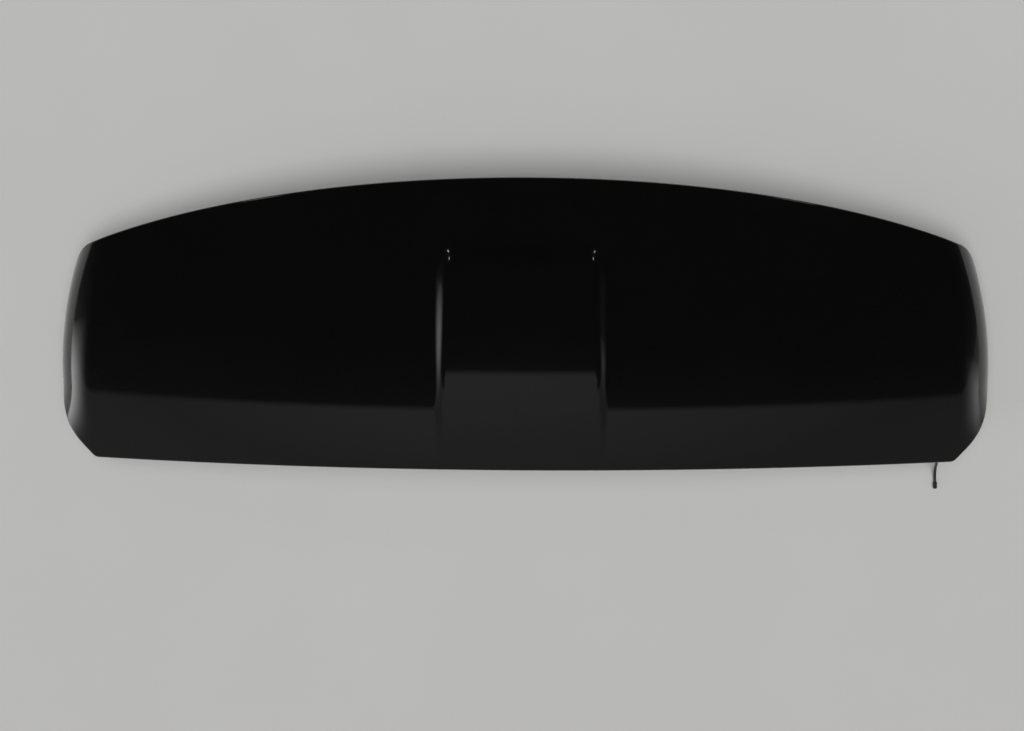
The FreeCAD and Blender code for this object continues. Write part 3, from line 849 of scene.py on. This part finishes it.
# %% Rubber
def rubber(nodes_of):
    bloom = nodes_of.noise(260.0, 4.0, 0.6)
    return {
        "Base Color": nodes_of.colour_mix(bloom, (0.010, 0.010, 0.010), (0.022, 0.022, 0.022)),
        "Roughness": nodes_of.between(bloom, 0.2, 0.8, 0.55, 0.75),
        "Normal": nodes_of.bump(bloom, 0.3, 0.0001),
    }


def lead_jacket(nodes_of):
    scuff = nodes_of.noise(400.0, 4.0, 0.6)
    return {
        "Base Color": nodes_of.colour_mix(scuff, (0.012, 0.012, 0.012), (0.026, 0.026, 0.026)),
        "Roughness": nodes_of.between(scuff, 0.2, 0.8, 0.38, 0.56),
    }


RUBBER = new_finish("black rubber", rubber)
lead_curve.materials.append(new_finish("lead jacket", lead_jacket))

# %% Grommet
GROMMET_RIBS = 3
RIB_PITCH = 0.0024
RIB_GROWTH = 0.0003
RIB_PROFILE = ((0.0031, 0.0020), (0.0036, 0.0022), (0.0036, 0.0034), (0.0032, 0.0036))
FLANGE_START, FLANGE_END = 0.00913, 0.01153
LIP_START, LIP_END = 0.01443, 0.01683
GROMMET_PROFILE = [(0.0, 0.0), (0.0029, 0.0)]
for rib in range(GROMMET_RIBS):
    GROMMET_PROFILE += [(r + RIB_GROWTH * rib, h + RIB_PITCH * rib) for r, h in RIB_PROFILE]
GROMMET_PROFILE += [(0.0042, FLANGE_START), (0.0070, FLANGE_START), (0.0070, FLANGE_END)]
GROMMET_PROFILE += [(0.0046, FLANGE_END), (0.0046, LIP_START), (0.0064, LIP_START)]
GROMMET_PROFILE += [(0.0046, LIP_END), (0.0, LIP_END)]
grommet = turned(GROMMET_PROFILE, soften=0.0002)
bmesh.ops.transform(
    grommet, verts=grommet.verts,
    matrix=Matrix.Translation(LEAD_ROUTE[0]) @ Matrix.Rotation(-math.pi / 2.0, 4, "X"),
)
finished("ribbed_grommet", grommet, RUBBER, "rubber", "lead_grommet")

# %% Sleeve, and the lead's facts
SLEEVE_PROFILE = (
    (0.0, 0.0), (0.0023, 0.0), (0.0026, 0.0006), (0.0026, 0.0076),
    (0.0023, 0.0086), (0.0014, 0.0090), (0.0, 0.0090),
)
sleeve = turned(SLEEVE_PROFILE, soften=0.0001)
lead_run = Vector(LEAD_ROUTE[-1]) - Vector(LEAD_ROUTE[-2])
bmesh.ops.transform(
    sleeve, verts=sleeve.verts,
    matrix=Matrix.Translation(LEAD_ROUTE[-1]) @ lead_run.to_track_quat("Z", "Y").to_matrix().to_4x4(),
)
sleeve_piece = finished("shrunk_sleeve", sleeve, RUBBER, "rubber", "lead_end_sleeve")

# %% [markdown]
# ## Floor and light
# A gloss black part shows the room rather than itself.  The room here is a pale floor and pale walls under a
# dark ceiling: the ceiling keeps the upper face black, and the front wall makes the grey zone along the
# leading edge, with its border where the face turns away.  That border dips in the middle, so that the grey
# zone reaches higher on the raised panel.  The side walls brighten towards the horizon, which draws the soft
# lines on the panel's walls and on the rolled sides.  The dip's edges are given as squares, because squaring
# the way aside makes left and right alike.

# %% Floor
def pale_floor(nodes_of):
    mottle = nodes_of.noise(3.0, 4.0, 0.6)
    return {
        "Base Color": nodes_of.colour_mix(mottle, (0.56, 0.56, 0.55), (0.60, 0.60, 0.59)),
        "Roughness": 0.85,
        "Specular IOR Level": 0.2,
    }


FLOOR_HALF = 40.0
FLOOR_GAP = 0.0002
floor_shape = bmesh.new()
bmesh.ops.create_grid(floor_shape, x_segments=2, y_segments=2, size=FLOOR_HALF)
bmesh.ops.translate(floor_shape, verts=floor_shape.verts, vec=(0.0, 0.0, REST_Z - FLOOR_GAP))
floor_mesh = bpy.data.meshes.new("floor")
floor_shape.to_mesh(floor_mesh)
floor_shape.free()
floor_mesh.materials.append(new_finish("pale floor", pale_floor))
floor = bpy.data.objects.new("floor", floor_mesh)
scene.collection.objects.link(floor)
print("floor at z =", REST_Z)

# %% Room
CEILING = 0.02
FRONT_LOW = 0.19
FRONT_HIGH = 0.33
FRONT_UP = (0.80, 0.94)
FRONT_ACROSS = (-0.5, 0.5)
FRONT_BRIGHT = 1.05
FRONT_DIM = 0.85
FRONT_BORDER = math.tan(math.radians(20.7))
BORDER_SOFTNESS = (-0.01, 0.014)
MIDDLE_DIP = 0.065
MIDDLE_ACROSS = -0.0147
MIDDLE_SQUARES = (0.0118, 0.0150)
LEFT_GLOW = 3.4
LEFT_REACH = (0.0, -0.18)
RIGHT_GLOW = 1.3
RIGHT_REACH = (-0.13, -0.22)
SIDE_BAND = (0.55, 1.0)
REAR_GLOW = 0.25
REAR_BAND = (0.95, 1.0)
BACKGROUND = 0.46


def glow(nodes_of, sideways, along, reach):
    """Light that grows from high on a side wall to the horizon, and fades out towards the rear."""
    share = nodes_of.between(sideways, *SIDE_BAND)
    return share * share * share * nodes_of.between(along, *reach)


room = bpy.data.worlds.new("room")
scene.world = room
room.use_nodes = True
room_nodes = Nodes(room.node_tree)
way = room_nodes.add("ShaderNodeTexCoord", output="Generated")
across, along, up = (room_nodes.add("ShaderNodeSeparateXYZ", {}, {0: way}, axis) for axis in "XYZ")
aside = across - MIDDLE_ACROSS
middle = room_nodes.between(aside * aside, *MIDDLE_SQUARES, MIDDLE_DIP, 0.0)
front_wall = room_nodes.between(middle - along - FRONT_BORDER * up, *BORDER_SOFTNESS)
front_wall = front_wall * room_nodes.between(up, *FRONT_UP, FRONT_LOW, FRONT_HIGH)
room_light = CEILING + front_wall * room_nodes.between(across, *FRONT_ACROSS, FRONT_BRIGHT, FRONT_DIM)
room_light = room_light + LEFT_GLOW * glow(room_nodes, -1.0 * across, along, LEFT_REACH)
room_light = room_light + RIGHT_GLOW * glow(room_nodes, across, along, RIGHT_REACH)
room_light = room_light + REAR_GLOW * room_nodes.between(along, *REAR_BAND)
seen = room_nodes.add("ShaderNodeLightPath", output="Is Camera Ray")
background = room.node_tree.nodes["Background"].inputs
room_nodes.put(background["Color"], (1.0, 1.0, 1.0, 1.0))
room_nodes.put(background["Strength"], room_light + seen * (BACKGROUND - room_light))
print("room has", len(room.node_tree.nodes), "nodes")

# %% Lamps
LAMP_X, LAMP_Y, LAMP_Z = 1.3, 1.9, 1.3
LAMP_AIM = (0.0, 0.1, 0.0)
LAMP_SIZE = 0.22


def lamp(name, place, aim, size, power):
    light = bpy.data.lights.new(name, "AREA")
    light.shape = "DISK"
    light.size = size
    light.energy = power
    piece = bpy.data.objects.new(name, light)
    scene.collection.objects.link(piece)
    turn = (Vector(place) - Vector(aim)).to_track_quat("Z", "Y").to_matrix().to_4x4()
    piece.matrix_world = Matrix.Translation(place) @ turn
    piece.visible_camera = False
    print("lamp", name, power, "W")


for lamp_name, side, power in (("rear left lamp", -1, 0.9), ("rear right lamp", 1, 0.7)):
    lamp(lamp_name, (side * LAMP_X, LAMP_Y, LAMP_Z), LAMP_AIM, LAMP_SIZE, power)

# %% Soft daylight for the floor
DAYLIGHT = 2.2
DAYLIGHT_SPREAD = math.radians(70.0)
daylight = bpy.data.lights.new("daylight", "SUN")
daylight.energy = DAYLIGHT
daylight.angle = DAYLIGHT_SPREAD
daylight_piece = bpy.data.objects.new("daylight", daylight)
scene.collection.objects.link(daylight_piece)
daylight_piece.visible_glossy = False
print("daylight", DAYLIGHT)

# %% [markdown]
# ## The end
# The last cell only prints a closing line.

# %% Closing line
print("scene built")
